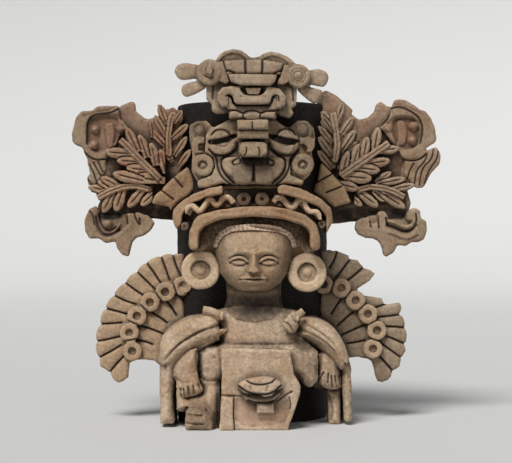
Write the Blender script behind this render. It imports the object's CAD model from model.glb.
import math

import bmesh
import bpy
import numpy as np
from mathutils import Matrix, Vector


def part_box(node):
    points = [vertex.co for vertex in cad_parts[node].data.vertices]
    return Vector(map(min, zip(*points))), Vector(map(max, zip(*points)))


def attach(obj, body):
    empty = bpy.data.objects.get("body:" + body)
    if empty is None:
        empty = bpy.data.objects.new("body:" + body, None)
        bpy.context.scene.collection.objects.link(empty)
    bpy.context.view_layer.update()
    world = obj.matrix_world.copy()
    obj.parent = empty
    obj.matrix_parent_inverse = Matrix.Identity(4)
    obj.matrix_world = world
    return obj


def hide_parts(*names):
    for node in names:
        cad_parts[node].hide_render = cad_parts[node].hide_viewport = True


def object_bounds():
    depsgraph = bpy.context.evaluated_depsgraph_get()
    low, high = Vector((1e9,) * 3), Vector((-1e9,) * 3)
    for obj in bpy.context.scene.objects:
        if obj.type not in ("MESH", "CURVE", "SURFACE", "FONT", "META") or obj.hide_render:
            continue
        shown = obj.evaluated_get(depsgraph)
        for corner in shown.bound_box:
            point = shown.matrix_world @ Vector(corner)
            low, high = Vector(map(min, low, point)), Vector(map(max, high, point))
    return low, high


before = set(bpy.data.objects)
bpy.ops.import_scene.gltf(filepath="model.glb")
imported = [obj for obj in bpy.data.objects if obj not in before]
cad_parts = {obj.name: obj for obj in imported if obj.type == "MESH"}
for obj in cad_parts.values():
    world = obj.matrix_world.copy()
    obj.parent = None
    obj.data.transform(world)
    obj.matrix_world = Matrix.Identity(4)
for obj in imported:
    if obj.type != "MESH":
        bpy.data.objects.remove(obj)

cad_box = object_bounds()

# The photographer's place, and how many pixels one radian of view covers
PICTURE_WIDTH = 512
PICTURE_MIDDLE = (256.0, 231.5)
FOCAL_PIXELS = 1600.0
CAMERA_PLACE = Vector((0.008, -3.190, 0.366))
SENSOR_WIDTH = 36.0
FAR_PIXELS = 26.0  # no mark reaches further than this

MM = 0.001
TURN = 2 * math.pi

# Measures of the clay, in millimetres where nothing else is said
NARROW, DEEP, DIRT = 1.35, 2.3, 1.2  # a cut under this many pixels and over this depth holds so much dirt
FIGURE_DIRT = 0.45  # the figure was cleaned better than the rest
SMALL_DROP, LARGE_DROP = 1.5, 24  # least drop beside an edge that is rounded, near and far
LEAST_THICKNESS = 1.5  # a mark leaves at least this much clay
SKIN, SKIN_FADE = 3.0, 0.6  # lumps rise on this depth of front skin, which ends softly
SPARE = 2.0  # a piece keeps this close to the box of its node
SWELLS = ((0, 0.035, 1.0), (7, 0.012, 0.4), (13, 0.006, 0.2))  # seed, size in metres and share of height
LEAF_BACK, LEAF_BED = 61, 59  # reach of the leaflets' backs and of the slab that they lie on
HOLLOW_STEPS, HOLLOW_MOST = 6, 1.5  # points that a hollow is measured over, and the deepest that counts
SHADE_SPANS, SHADE_WAYS = (7, 15, 30), 12  # how far and in how many ways forms are looked for that shade
THINNED = 0.72  # share of the triangles that is kept
ROOT_BACK = 0.15  # share of its length by which a leaflet's root runs back under the midrib


# Sight lines: a pixel of the picture and the place on the urn that lies behind it

def to_pixels(places):
    """Picture pixels of an array of places in metres."""
    scale = (places[:, 1] - CAMERA_PLACE.y) / FOCAL_PIXELS
    across = PICTURE_MIDDLE[0] + (places[:, 0] - CAMERA_PLACE.x) / scale
    down = PICTURE_MIDDLE[1] - (places[:, 2] - CAMERA_PLACE.z) / scale
    return np.stack([across, down], axis=1)


def to_place(pixel, reach):
    """The place in metres behind a pixel, on the plane that stands reach in front of the axis."""
    scale = (-reach - CAMERA_PLACE.y) / FOCAL_PIXELS
    return Vector((CAMERA_PLACE.x + (pixel[0] - PICTURE_MIDDLE[0]) * scale, -reach,
                   CAMERA_PLACE.z + (PICTURE_MIDDLE[1] - pixel[1]) * scale))


def xy(*numbers):
    """Pixels of the picture, given as x,y, x,y and so on."""
    return list(zip(numbers[::2], numbers[1::2]))


# Tool marks: each gives how deep the clay is pressed, in millimetres, at pixels of the picture

def eased(line, turns=2, closed=False):
    """A line or outline with its corners drawn round."""
    dots = list(line)
    if len(dots) < 3:
        return dots
    for _ in range(turns):
        between = []
        for (ax, ay), (bx, by) in zip(dots, dots[1:] + dots[:1] if closed else dots[1:]):
            between += [(ax * 0.75 + bx * 0.25, ay * 0.75 + by * 0.25),
                        (ax * 0.25 + bx * 0.75, ay * 0.25 + by * 0.75)]
        dots = between if closed else dots[:1] + between + dots[-1:]
    return dots


def line_distance(pixels, line):
    """Distance of pixels from a line of points; far pixels all count as very far."""
    best = np.full(len(pixels), 1e3)
    low, high = np.min(line, axis=0) - FAR_PIXELS, np.max(line, axis=0) + FAR_PIXELS
    near = np.flatnonzero(((pixels > low) & (pixels < high)).all(axis=1))
    x, y = pixels[near, 0], pixels[near, 1]
    least = best[near]
    for (ax, ay), (bx, by) in zip(line[:-1], line[1:]):
        dx, dy = bx - ax, by - ay
        share = np.clip(((x - ax) * dx + (y - ay) * dy) / max(dx * dx + dy * dy, 1e-9), 0, 1)
        least = np.minimum(least, np.hypot(x - ax - share * dx, y - ay - share * dy))
    best[near] = least
    return best


def inside(pixels, outline):
    """Whether pixels lie inside an outline."""
    within = np.zeros(len(pixels), bool)
    x, y = pixels[:, 0], pixels[:, 1]
    for (ax, ay), (bx, by) in zip(outline, outline[1:] + outline[:1]):
        crosses = (ay > y) != (by > y)
        edge = ax + (y - ay) / (by - ay if by != ay else 1e-9) * (bx - ax)
        within ^= crosses & (x < edge)
    return within


def cut(line, width, depth):
    """A groove drawn with a pointed stick; as paint, a line whose share goes up to depth."""
    line = eased(line)

    def press(p):
        return depth * np.exp(-(line_distance(p, line) / width) ** 2)
    press.dirt = DIRT if width < NARROW and depth > DEEP else 0.0
    press.deepest = depth
    return press


def cuts(lines, width, depth):
    """One cut on each line."""
    return [cut(line, width, depth) for line in lines]


def sink(outline, depth, soft):
    """An area pressed down, with a soft edge."""
    outline = eased(outline, 1, closed=True)

    def press(p):
        away = line_distance(p, outline + outline[:1])
        away = np.where(inside(p, outline), away, -away)
        return depth / (1 + np.exp(-4 * away / soft))
    return press


def lift(outline, height, soft):
    """An area of clay added on the face."""
    return sink(outline, -height, soft)


def area(outline, soft, strength=1.0):
    """A painted or sooted area, as a share from 0 to 1."""
    return sink(outline, strength, soft)


def stroke(line, width, strength=1.0):
    """A painted or sooted line, as a share from 0 to 1."""
    return cut(line, width, strength)


def distance(p, centre):
    """Distance of pixels from one pixel."""
    return np.hypot(p[:, 0] - centre[0], p[:, 1] - centre[1])


def dome(centre, radius, height):
    """A round pellet pressed on the face."""
    return lambda p: -height * np.sqrt(np.clip(1 - (distance(p, centre) / radius) ** 2, 0, 1))


def pit(centre, radius, depth):
    """A round hole made with a stick."""
    return lambda p: depth / (1 + np.exp(7 * (distance(p, centre) / radius - 1)))


def ring(centre, radius, width, depth):
    """A circle drawn with a tube."""
    return lambda p: depth * np.exp(-((distance(p, centre) - radius) / width) ** 2)


def feathers(lines):
    """Feathers of a fan: a sharp cut between each two, and a soft swell across each."""
    return cuts(lines, 0.85, 8.5) + cuts(lines, 2.8, 2.0)


def leaf(rib, leaflets, rib_half_width, bare):
    """A feathery leaf: leaflets lie over one another and the double midrib lies over them all.

    A leaflet is root x, root y, tip x, tip y and half its width; bare is how deep the rest lies."""
    def press(p):
        depth = np.full(len(p), bare)
        for ax, ay, bx, by, half in leaflets:
            length = math.hypot(bx - ax, by - ay)
            dx, dy = (bx - ax) / length, (by - ay) / length
            along = ((p[:, 0] - ax) * dx + (p[:, 1] - ay) * dy) / length
            aside = np.abs((p[:, 0] - ax) * dy - (p[:, 1] - ay) * dx)
            width = half * np.where(along < 0.5, 0.72 + 0.56 * along,
                                    np.sqrt(np.clip(1 - ((along - 0.5) / 0.52) ** 2, 0, 1)))
            within = (along > -0.06) & (along < 1.02) & (aside < width)
            share = np.clip(aside / np.maximum(width, 0.1), 0, 1)
            body = 2.4 * share ** 3 + 2.6 * np.exp(-(along / 0.16) ** 2)
            slit = 4.0 * np.exp(-(aside / 0.62) ** 2) / (1 + np.exp(-30 * (0.80 - along)))
            near = np.maximum(aside - width, 0) + np.maximum(along - 1.0, 0) * length
            gap = np.where(along > -0.06, 6.5 * np.exp(-(near / 1.1) ** 2), 0)
            depth = np.where(within, body + slit, np.maximum(depth, gap))
        away = line_distance(p, rib)
        over = away < rib_half_width
        round_rib = 2.6 * np.exp(-(away / 0.62) ** 2) + 1.8 * (away / rib_half_width) ** 4
        beside = 5.5 * np.exp(-((away - rib_half_width) / 0.9) ** 2)
        return np.where(over, round_rib, np.maximum(depth, beside))
    return press


def leaflet_outline(leaflet):
    """The outline of one leaflet, drawn from its root to its tip and back."""
    ax, ay, bx, by, half = leaflet
    length = math.hypot(bx - ax, by - ay)
    dx, dy = (bx - ax) / length, (by - ay) / length
    steps = [(-0.05, 0.7), (0.25, 0.86), (0.5, 1.0), (0.75, 0.87), (0.92, 0.56), (1.0, 0.18)]
    one = [(ax + dx * length * at - dy * half * wide, ay + dy * length * at + dx * half * wide)
           for at, wide in steps]
    other = [(ax + dx * length * at + dy * half * wide, ay + dy * length * at - dx * half * wide)
             for at, wide in reversed(steps)]
    return one + other


def round_outline(centre, radius, sides=14):
    """The outline of a round pellet or disc."""
    return [(centre[0] + radius * math.cos(TURN * side / sides),
             centre[1] + radius * math.sin(TURN * side / sides)) for side in range(sides)]


def notches(line, spacing=4.3, half_length=5.0):
    """Short cuts across a line at even steps."""
    strokes = []
    left_over = 0.0
    for (ax, ay), (bx, by) in zip(line[:-1], line[1:]):
        length = math.hypot(bx - ax, by - ay)
        dx, dy = (bx - ax) / length, (by - ay) / length
        step = left_over
        while step < length:
            x, y = ax + dx * step, ay + dy * step
            strokes.append([(x - dy * half_length, y + dx * half_length),
                            (x + dy * half_length, y - dx * half_length)])
            step += spacing
        left_over = step - length
    return cuts(strokes, 0.8, 2.25)


# Meshes

def placed(name, data):
    """A new object in the scene."""
    thing = bpy.data.objects.new(name, data)
    bpy.context.scene.collection.objects.link(thing)
    return thing


def mesh_from(body, name):
    """The mesh of a finished body."""
    bmesh.ops.recalc_face_normals(body, faces=body.faces[:])
    mesh = bpy.data.meshes.new(name)
    body.to_mesh(mesh)
    body.free()
    return mesh


def spun(name, profile, steps, merge):
    """A form turned round the upright axis from half its profile."""
    body = bmesh.new()
    dots = [body.verts.new((r, 0, z)) for r, z in profile]
    sides = [body.edges.new(pair) for pair in zip(dots[:-1], dots[1:])]
    bmesh.ops.spin(body, geom=dots + sides, cent=(0, 0, 0), axis=(0, 0, 1), angle=TURN, steps=steps,
                   use_merge=True, use_duplicate=False)
    bmesh.ops.remove_doubles(body, verts=body.verts[:], dist=merge)
    return mesh_from(body, name)


def add_plate(body, outline, back, front):
    """A plate cut from a slab: its outline is in pixels, and its faces stand back and front of the axis."""
    face = body.faces.new([body.verts.new(to_place(dot, front * MM)) for dot in outline])
    drawn = bmesh.ops.extrude_face_region(body, geom=[face])
    moved = [item for item in drawn["geom"] if isinstance(item, bmesh.types.BMVert)]
    bmesh.ops.translate(body, verts=moved, vec=(0, (front - back) * MM, 0))


def add_coil(body, line, radius, reach):
    """A rolled coil of clay laid along a line of pixels."""
    dots = [to_place(dot, reach * MM) for dot in line]
    for _ in range(2):
        middle = [dots[0]]
        for before, after in zip(dots[:-1], dots[1:]):
            middle += [before * 0.75 + after * 0.25, before * 0.25 + after * 0.75]
        dots = middle + [dots[-1]]
    rings = []
    for step, dot in enumerate(dots):
        along = dots[min(step + 1, len(dots) - 1)] - dots[max(step - 1, 0)]
        turn = along.to_track_quat("Z", "Y").to_matrix().to_4x4()
        turn.translation = dot
        made = bmesh.ops.create_circle(body, cap_ends=step in (0, len(dots) - 1), segments=10,
                                       radius=radius * MM, matrix=turn)
        rings.append({edge for vert in made["verts"] for edge in vert.link_edges})
    for first, second in zip(rings[:-1], rings[1:]):
        bmesh.ops.bridge_loops(body, edges=list(first | second))


def add_modifier(piece, kind, **values):
    modifier = piece.modifiers.new(kind.lower(), kind)
    for name, value in values.items():
        setattr(modifier, name, value)


def evaluated(piece):
    """The piece with its modifiers worked into its mesh."""
    graph = bpy.context.evaluated_depsgraph_get()
    done = bpy.data.meshes.new_from_object(piece.evaluated_get(graph))
    old = piece.data
    piece.modifiers.clear()
    piece.data = done
    bpy.data.meshes.remove(old)
    return piece


def one_body(name, body, plates, coils, grain, soften):
    """Plates and coils are laid on a body of clay, and all is worked into one smoothed piece."""
    for plate in plates:
        add_plate(body, *plate)
    for coil in coils:
        add_coil(body, *coil)
    piece = placed(name, mesh_from(body, name))
    add_modifier(piece, "REMESH", mode="VOXEL", voxel_size=grain, use_smooth_shade=True)
    add_modifier(piece, "SMOOTH", factor=0.5, iterations=soften)
    return evaluated(piece)


def thinned(piece):
    """Takes out the points that the form can spare."""
    add_modifier(piece, "DECIMATE", ratio=THINNED)
    return evaluated(piece)


def values_of(items, name, width=3, kind=float):
    """One value of all points or edges, as an array of rows."""
    values = np.empty(len(items) * width, dtype=kind)
    items.foreach_get(name, values)
    return values.reshape(-1, width)


def places_of(mesh):
    return values_of(mesh.vertices, "co")


def normals_of(mesh):
    return values_of(mesh.vertices, "normal")


def neighbours_of(mesh):
    """A function that gives the mean of each point's neighbours, over the edges of the mesh."""
    total = len(mesh.vertices)
    a, b = values_of(mesh.edges, "vertices", 2, np.int64).T.copy()
    count = np.maximum(np.bincount(a, minlength=total) + np.bincount(b, minlength=total), 1)

    def mean(values):
        if values.ndim > 1:
            return np.stack([mean(column) for column in values.T], axis=1)
        return (np.bincount(a, values[b], total) + np.bincount(b, values[a], total)) / count
    return mean


def melted(places, mean, turns):
    """Smooths a form with little loss of size: what the smoothing takes off is smoothed and given back."""
    def smoothed(values):
        for _ in range(turns):
            values = 0.5 * (values + mean(values))
        return values
    once = smoothed(places)
    return 2 * once - smoothed(once)


def unevenness(places, seed, size, height):
    """Slow swells over a surface, as a hand leaves them."""
    chance = np.random.default_rng(seed)
    total = np.zeros(len(places))
    for _ in range(7):
        way = chance.normal(size=3)
        way *= chance.uniform(0.6, 1.6) / (np.linalg.norm(way) * size)
        total += np.sin(places @ way * 2 * math.pi + chance.uniform(0, 2 * math.pi))
    return total * height / 2.6


# The front of the work as a field of heights

def shifted(grid, i, j):
    """A grid moved by some cells."""
    return np.roll(np.roll(grid, i, axis=0), j, axis=1)


NINE = [(a, b) for a in (-1, 0, 1) for b in (-1, 0, 1)]  # a cell and the eight around it


def front_heights(reach, across, up, cell):
    """How far the front stands at each cell of a grid laid over the piece, and the grid's corner."""
    border = 12
    corner = np.array([across.min() - border * cell, up.min() - border * cell])
    wide = int((across.max() - corner[0]) / cell) + border + 2
    high = int((up.max() - corner[1]) / cell) + border + 2
    low = reach.min() - 1.0
    heights = np.full((wide, high), low)
    i = np.rint((across - corner[0]) / cell).astype(int)
    j = np.rint((up - corner[1]) / cell).astype(int)
    np.maximum.at(heights, (i, j), reach)
    heights = np.maximum.reduce([shifted(heights, a, b) for a, b in NINE])
    heights = np.minimum.reduce([shifted(heights, a, b) for a, b in NINE])
    return heights, corner, low


def sample(grid, across, up, corner, cell):
    """Values between the cells of a grid."""
    u = (across - corner[0]) / cell
    v = (up - corner[1]) / cell
    i, j = u.astype(int), v.astype(int)
    a, b = u - i, v - j
    return (grid[i, j] * (1 - a) * (1 - b) + grid[i + 1, j] * a * (1 - b)
            + grid[i, j + 1] * (1 - a) * b + grid[i + 1, j + 1] * a * b)


def front_limit(reach, across, up, roundings, cell):
    """How far forward each point may stand once the front edges are rounded off.

    Each rounding is (least drop beside the edge, width of the rounding, how far the edge falls)."""
    heights, corner, low = front_heights(reach, across, up, cell)
    limit = heights.copy()
    for level, edge, fall in roundings:
        away = np.full(heights.shape, edge)
        steps = int(edge / cell)
        for i in range(-steps, steps + 1):
            for j in range(-steps, steps + 1):
                span = math.hypot(i, j) * cell
                if 0 < span < edge:
                    lower = shifted(heights, i, j) < heights - level
                    away = np.where(lower & (away > span), span, away)
        limit = np.minimum(limit, heights - fall * (1 - away / edge) ** 2)
    empty = -9.0
    solid = heights > low + 1e-6
    for _ in range(2):
        spread = np.maximum.reduce([np.where(shifted(solid, a, b), shifted(limit, a, b), empty)
                                    for a, b in NINE])
        limit = np.where(solid, limit, spread)
        solid = solid | (spread > empty + 1)
    return sample(limit, across, up, corner, cell)


# Layers that the finishes read: hollows and wear, soot, red paint, and shade among the forms

def write_layer(mesh, name, values):
    layer = mesh.attributes.new(name, "FLOAT", "POINT")
    layer.data.foreach_set("value", values.astype(np.float32))


def mark_hollows(mesh):
    """Writes how hollow or proud each point lies among its neighbours, for dirt and wear."""
    places, mean = places_of(mesh), neighbours_of(mesh)
    smooth = places
    for _ in range(HOLLOW_STEPS):
        smooth = mean(smooth)
    hollow = np.einsum("ij,ij->i", smooth - places, normals_of(mesh)) / MM
    for _ in range(2):
        hollow = mean(hollow)
    write_layer(mesh, "hollow", np.clip(hollow, -HOLLOW_MOST, HOLLOW_MOST))


def most(pixels, marks, share):
    """The greatest of what several marks or painted areas give."""
    for mark in marks:
        share = np.maximum(share, mark(pixels))
    return share


def shade_hollows():
    """Writes how far each point lies back among the forms that stand around it on the front."""
    cell = 3 * MM
    stacks = [places_of(piece.data) for piece in shaded_pieces]
    every = np.concatenate(stacks)
    heights, corner, low = front_heights(-every[:, 1], every[:, 0], every[:, 2], cell)
    heights = np.where(heights <= low + 1e-6, -1.0, heights)
    rays = [(math.cos(turn), math.sin(turn), span * MM)
            for turn in (TURN * step / SHADE_WAYS for step in range(SHADE_WAYS)) for span in SHADE_SPANS]
    last = np.array(heights.shape) - 2.001
    for piece, places in zip(shaded_pieces, stacks):
        reach = -places[:, 1]
        cover = np.zeros(len(places))
        for across, up, span in rays:
            u = np.clip((places[:, 0] + across * span - corner[0]) / cell, 0, last[0]).astype(int)
            v = np.clip((places[:, 2] + up * span - corner[1]) / cell, 0, last[1]).astype(int)
            cover += np.clip((heights[u, v] - reach) / span, 0, 1.4) * (1.25 if up > 0.2 else 0.9)
        cover /= len(rays)
        facing = np.clip(0.5 - normals_of(piece.data)[:, 1] * 1.2, 0, 1)
        write_layer(piece.data, "shade", np.clip(cover * facing, 0, 1))


# Clay pieces

shaded_pieces = []


def finish_piece(piece, slot, finish, *nodes):
    """Gives a piece its finish, and says what it rides, its slot and the nodes whose place it takes."""
    piece.data.materials.clear()
    piece.data.materials.append(finishes[finish])
    piece.data.shade_smooth()
    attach(piece, "root")
    if nodes:
        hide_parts(*nodes)


def clay_lump(name, slot, finish=None, voxel=0.9, soften=8, plates=(), coils=(), marks=(), dark=(), lean=None):
    """A small lump of clay of its own, laid on the work, of plates and coils.

    lean = (start, stop, length) brings it forward from one pixel column to another."""
    piece = one_body(name, bmesh.new(), plates, coils, voxel * 1.0 * MM, soften)
    places = places_of(piece.data)
    pixels = to_pixels(places)
    none = np.zeros(len(places))
    places[:, 1] += most(pixels, marks, none) * MM * np.clip(-1.5 * normals_of(piece.data)[:, 1], 0, 1)
    if lean:
        first, last, length = lean
        places[:, 1] -= length * MM * np.clip((pixels[:, 0] - first) / (last - first), 0, 1)
    places += unevenness(places, sum(map(ord, name)), 0.012, 0.25 * MM)[:, None] * normals_of(piece.data)
    piece.data.vertices.foreach_set("co", places.ravel())
    piece.data.update()
    mark_hollows(piece.data)
    write_layer(piece.data, "soot", most(pixels, dark, none))
    write_layer(piece.data, "red", none)
    finish_piece(thinned(piece), f"{slot}_clay", finish or slot)


def clay(node, slot, finish=None, *, voxel, edge, fall, big=None, soften=3, melt=0, flow=0, marks=(), plates=(),
         coils=(), dark=(), red=(), shape=None, rough=0.4, clean=False):
    """Grows a hand-made clay piece over a solid of the part, and takes its place.

    finish is the name of its finish where that isn't the slot's; voxel is the grain of the clay body;
    edge and fall round its front edges and big its far edges; soften and melt smooth it and flow smooths
    its outline alone; plates and coils are laid on it; marks are pressed in and shape moves its points;
    dark and red are where soot and red paint lie; rough is how uneven it is; a clean piece takes no dirt
    from the forms around it. Lengths are in millimetres."""
    body = bmesh.new()
    body.from_mesh(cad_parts[node].data)
    bmesh.ops.remove_doubles(body, verts=body.verts[:], dist=0.00001)
    grain = voxel * 1.0 * MM
    piece = one_body(f"{node}_clay", body, plates, coils, grain, soften)
    places, mean = places_of(piece.data), neighbours_of(piece.data)
    if melt:
        places = melted(places, mean, melt)
    if flow:
        places[:, [0, 2]] = melted(places, mean, flow)[:, [0, 2]]
    reach = -places[:, 1]
    roundings = [(SMALL_DROP * MM, edge * MM, fall * MM)]
    if big:
        roundings.append((LARGE_DROP * MM, big[0] * MM, big[1] * MM))
    limit = front_limit(reach, places[:, 0], places[:, 2], roundings, max(grain, 1.3 * MM))
    pixels = to_pixels(places)
    behind = reach.min() + LEAST_THICKNESS * MM
    skin = 1 / (1 + np.exp(np.clip((limit - reach) / MM - SKIN, -30, 30) / SKIN_FADE))
    pressed = np.zeros(len(places))
    raised = np.zeros(len(places))
    dirt = np.zeros(len(places))
    for mark in marks:
        depth = mark(pixels)
        if getattr(mark, "dirt", 0):
            dirt = np.maximum(dirt, mark.dirt * depth / mark.deepest)
        pressed = np.maximum(pressed, depth * MM)
        raised = np.minimum(raised, depth * MM)
    places[:, 1] = raised * skin - np.minimum(reach, np.maximum(limit - pressed, behind))
    if shape:
        places = shape(places, skin)
    seed = sum(map(ord, node))
    swell = sum(unevenness(places, seed + more, size, rough * share * MM) for more, size, share in SWELLS)
    places = places + normals_of(piece.data) * swell[:, None]
    low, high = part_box(node)
    places = np.clip(places, np.maximum(np.array(low) - SPARE * MM, cad_box[0]),
                     np.minimum(np.array(high) + SPARE * MM, cad_box[1]))
    piece.data.vertices.foreach_set("co", places.ravel())
    add_modifier(piece, "SMOOTH", factor=0.5, iterations=2)
    evaluated(piece)
    mark_hollows(piece.data)
    if slot == "figure":
        dirt *= FIGURE_DIRT
    pixels = to_pixels(places_of(piece.data))
    facing = np.clip(0.9 - normals_of(piece.data)[:, 1] * 1.2, 0, 1)
    write_layer(piece.data, "soot", most(pixels, dark, dirt) * facing)
    write_layer(piece.data, "red", most(pixels, red, np.zeros(len(pixels))) * facing)
    thinned(piece)
    if not clean:
        shaded_pieces.append(piece)
    finish_piece(piece, f"{slot}_clay", finish or slot, node)


def leaf_clay(node, front, rib, leaflets, rib_half_width, fuller=1.2):
    """A leaf of the part, with its leaflets made fuller and laid on the slab behind them."""
    leaflets = [(ax + (ax - bx) * ROOT_BACK, ay + (ay - by) * ROOT_BACK, bx, by, fuller * half)
                for ax, ay, bx, by, half in leaflets]
    clay(node, "wing", "leaf" if node.startswith("left") else "shaded_leaf", voxel=1.05, edge=2, fall=0.5,
         soften=2, plates=[(leaflet_outline(leaflet), LEAF_BACK, front) for leaflet in leaflets],
         marks=[leaf(rib, leaflets, rib_half_width, front - LEAF_BED)])


# Finishes: shared effects of fired clay, as node groups

def node_group(name, sockets):
    """An empty group of nodes with its ways in and out."""
    group = bpy.data.node_groups.new(name, "ShaderNodeTree")
    for label, way, kind, value in sockets:
        socket = group.interface.new_socket(label, in_out=way, socket_type=kind)
        if value is not None:
            socket.default_value = value
    return group


def maker(tree):
    """A short way to place and link nodes in one tree."""
    def make(kind, inputs=(), **values):
        node = tree.nodes.new(kind)
        for name, value in values.items():
            setattr(node, name, value)
        for name, value in dict(inputs).items():
            if isinstance(value, bpy.types.NodeSocket):
                tree.links.new(value, node.inputs[name])
            else:
                node.inputs[name].default_value = value
        return node
    return make


def spot_noise(make, where, scale, low, high, detail=4.0):
    """A mask of patches from noise."""
    noise = make("ShaderNodeTexNoise", {"Vector": where, "Scale": scale, "Detail": detail, "Roughness": 0.6})
    return make("ShaderNodeMapRange", {"Value": noise.outputs["Fac"], "From Min": low,
                                       "From Max": high}).outputs["Result"]


def fired_colour_group():
    """Colour of fired clay: clouds, pale bloom, soot, red paint, dirt in hollows and wear on proud edges."""
    group = node_group("fired_colour", [
        ("Clay", "INPUT", "NodeSocketColor", (0.5, 0.35, 0.25, 1)),
        ("Bloom", "INPUT", "NodeSocketColor", (0.6, 0.48, 0.38, 1)),
        ("Soot", "INPUT", "NodeSocketColor", (0.045, 0.034, 0.026, 1)),
        ("Pigment", "INPUT", "NodeSocketColor", (0.42, 0.16, 0.1, 1)),
        ("Bloom Amount", "INPUT", "NodeSocketFloat", 0.5),
        ("Soot Amount", "INPUT", "NodeSocketFloat", 0.2),
        ("Pigment Amount", "INPUT", "NodeSocketFloat", 0.2),
        ("Colour", "OUTPUT", "NodeSocketColor", None),
        ("Roughness", "OUTPUT", "NodeSocketFloat", None),
    ])
    make = maker(group)
    given = make("NodeGroupInput")
    where = make("ShaderNodeTexCoord").outputs["Object"]
    hollow, shade, soot, red = (make("ShaderNodeAttribute", attribute_name=name).outputs["Fac"]
                                for name in ("hollow", "shade", "soot", "red"))
    clouds = spot_noise(make, where, 14.0, 0.40, 0.62)
    fine = spot_noise(make, where, 60.0, 0.40, 0.66)
    mottle = spot_noise(make, where, 170.0, 0.36, 0.68)
    speck = spot_noise(make, where, 400.0, 0.57, 0.70, 2.0)
    patches = spot_noise(make, where, 6.0, 0.50, 0.68)
    streaks = spot_noise(make, where, 22.0, 0.47, 0.62)

    def math_node(operation, first, second):
        return make("ShaderNodeMath", {0: first, 1: second}, operation=operation, use_clamp=True).outputs[0]

    def times(first, second):
        return math_node("MULTIPLY", first, second)

    def ramp(value, low, high, top=1.0):
        return make("ShaderNodeMapRange", {"Value": value, "From Min": low, "From Max": high,
                                           "To Max": top}).outputs["Result"]

    def mixed(share, first, second):
        return make("ShaderNodeMix", {0: share, 6: first, 7: second}, data_type="RGBA").outputs[2]

    bloom = times(clouds, given.outputs["Bloom Amount"])
    colour = mixed(bloom, given.outputs["Clay"], given.outputs["Bloom"])
    colour = mixed(times(patches, given.outputs["Soot Amount"]), colour, given.outputs["Soot"])
    traces = times(math_node("ADD", times(streaks, fine), ramp(hollow, 0.05, 0.5, 0.5)),
                   given.outputs["Pigment Amount"])
    painted = math_node("MAXIMUM", traces, times(red, ramp(mottle, -0.6, 0.8)))
    colour = mixed(painted, colour, given.outputs["Pigment"])
    dirt = math_node("MAXIMUM", ramp(hollow, 0.06, 0.65, 0.88), ramp(shade, 0.20, 0.80, 0.92))
    dirt = math_node("MAXIMUM", dirt, times(soot, ramp(fine, -4.5, 0.6)))
    colour = mixed(dirt, colour, given.outputs["Soot"])
    worn = times(times(ramp(hollow, -0.08, -0.6, 0.5), mottle), math_node("SUBTRACT", 1.0, soot))
    colour = mixed(worn, colour, given.outputs["Bloom"])
    colour = mixed(times(speck, 0.5), colour, (0.09, 0.065, 0.05, 1))
    tone = make("ShaderNodeMapRange", {"Value": mottle, "To Min": 0.80, "To Max": 1.14}).outputs["Result"]
    scaled = make("ShaderNodeVectorMath", {0: colour, 1: tone}, operation="MULTIPLY").outputs[0]
    rough = make("ShaderNodeMapRange", {"Value": clouds, "To Min": 0.78, "To Max": 0.95}).outputs["Result"]
    make("NodeGroupOutput", {"Colour": scaled, "Roughness": rough})
    return group


def clay_grain_group():
    """Height of grit, pores and tool drag on fired clay."""
    group = node_group("clay_grain", [
        ("Grit", "INPUT", "NodeSocketFloat", 0.5),
        ("Drag", "INPUT", "NodeSocketFloat", 0.5),
        ("Height", "OUTPUT", "NodeSocketFloat", None),
    ])
    make = maker(group)
    given = make("NodeGroupInput")
    where = make("ShaderNodeTexCoord").outputs["Object"]
    grit = make("ShaderNodeTexNoise", {"Vector": where, "Scale": 520.0, "Detail": 3.0}).outputs["Fac"]
    pores = make("ShaderNodeTexVoronoi", {"Vector": where, "Scale": 260.0}).outputs["Distance"]
    pores = make("ShaderNodeMapRange", {"Value": pores, "From Min": 0.05, "From Max": 0.28}).outputs["Result"]
    lumps = make("ShaderNodeTexNoise", {"Vector": where, "Scale": 95.0, "Detail": 4.0}).outputs["Fac"]

    def worked(operation, first, second):
        return make("ShaderNodeMath", {0: first, 1: second}, operation=operation).outputs[0]

    height = worked("ADD", worked("MULTIPLY", worked("MULTIPLY", grit, 0.4), given.outputs["Grit"]),
                    worked("MULTIPLY", pores, 0.2))
    height = worked("ADD", height, worked("MULTIPLY", lumps, given.outputs["Drag"]))
    make("NodeGroupOutput", {"Height": height})
    return group


fired_colour = fired_colour_group()
clay_grain = clay_grain_group()
BLOOM_AMOUNT, GRIT, DRAG = 0.65, 0.6, 0.7
RED = (0.3, 0.0955, 0.051)
CREAM = ((0.56, 0.401, 0.255), (0.7, 0.535, 0.365))


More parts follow.
